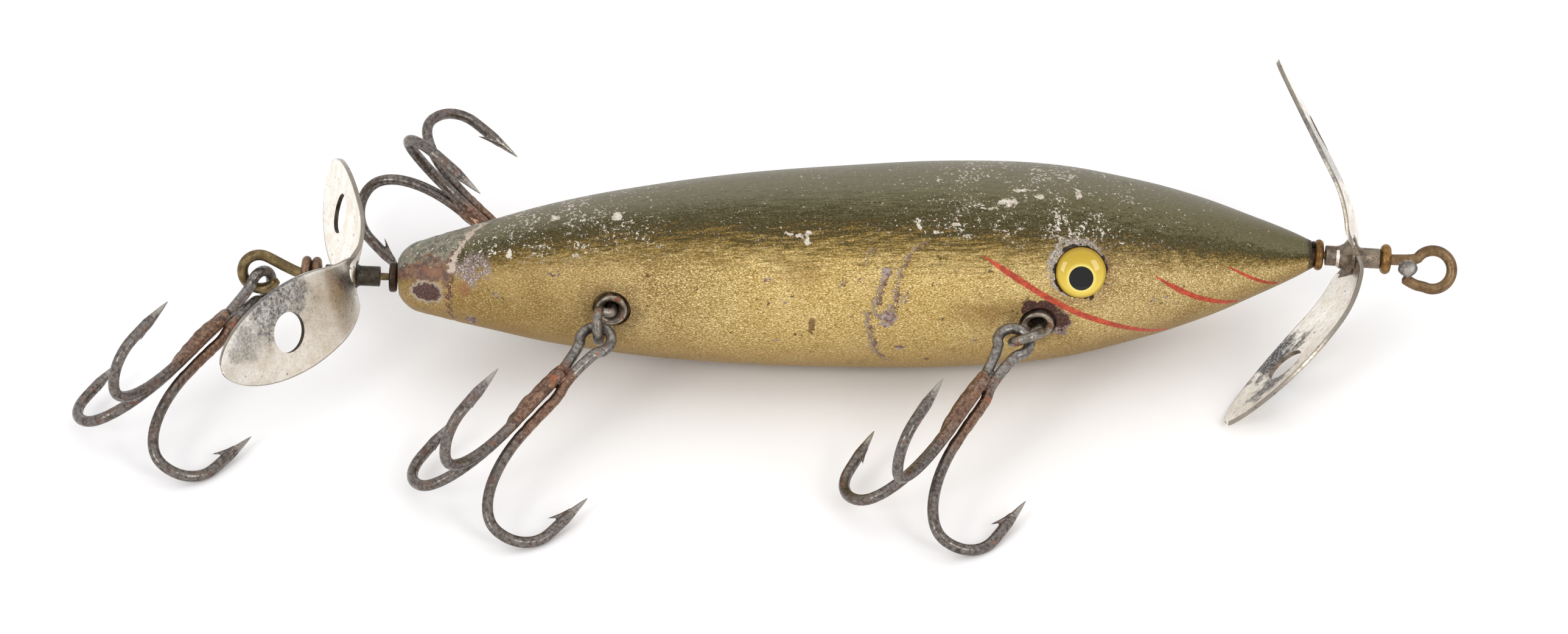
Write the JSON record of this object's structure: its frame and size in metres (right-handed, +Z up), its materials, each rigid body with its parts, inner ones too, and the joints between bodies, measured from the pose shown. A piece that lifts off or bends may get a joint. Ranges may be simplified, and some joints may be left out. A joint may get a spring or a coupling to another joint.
{
  "type": "wooden minnow fishing lure",
  "caption": "Turned and painted wooden minnow lure with glass eyes, side treble hooks on wire hangers and a spinner blade at nose and tail, lying on its belly.",
  "frame": {"origin": "centre of the bounding box, on the surface the lure lies on", "axes": "+X along the body to the nose, +Y to the far side, +Z up"},
  "size_m": [0.1442, 0.0596, 0.0236],
  "materials": {
    "painted_wood": "aged varnished paint, dark green back over gold sides",
    "eye_glass": "yellow glass with a black pupil",
    "brass_wire": "tarnished",
    "bronze": "tarnished",
    "dark_washer": "blackened",
    "plated_blade": "worn nickel plate",
    "hanger_metal": "dull plated",
    "hook_steel": "rusted and worn"
  },
  "bodies": {
    "lure": {"body": "painted_wood", "eye_near": "eye_glass", "eye_far": "eye_glass", "line_tie": "brass_wire", "tail_tie": "brass_wire", "nose_ring": "bronze", "tie_ring": "bronze", "tail_washer": "dark_washer", "tail_ring_inner": "bronze", "tail_ring_outer": "bronze", "hanger_cup_near_front": "hanger_metal", "hanger_hook_near_front": "hanger_metal", "hanger_cup_near_rear": "hanger_metal", "hanger_hook_near_rear": "hanger_metal", "hanger_cup_far_front": "hanger_metal", "hanger_hook_far_front": "hanger_metal", "hanger_cup_far_rear": "hanger_metal", "hanger_hook_far_rear": "hanger_metal", "treble_near_front": "hook_steel", "treble_near_rear": "hook_steel", "treble_far_rear": "hook_steel", "treble_tail": "hook_steel"},
    "nose_spinner": {"front_propeller": "plated_blade"},
    "tail_spinner": {"tail_propeller": "plated_blade"}
  },
  "joints": [
    {"name": "nose_spin", "type": "hinge", "parent": "lure", "child": "nose_spinner", "pos_m": [0.05702, 0.00543, 0.01075], "axis": [0.996, -0.055, -0.07], "continuous": true},
    {"name": "tail_spin", "type": "hinge", "parent": "lure", "child": "tail_spinner", "pos_m": [-0.03818, 0.00543, 0.01075], "axis": [0.9979, -0.04, -0.051], "continuous": true}
  ]
}
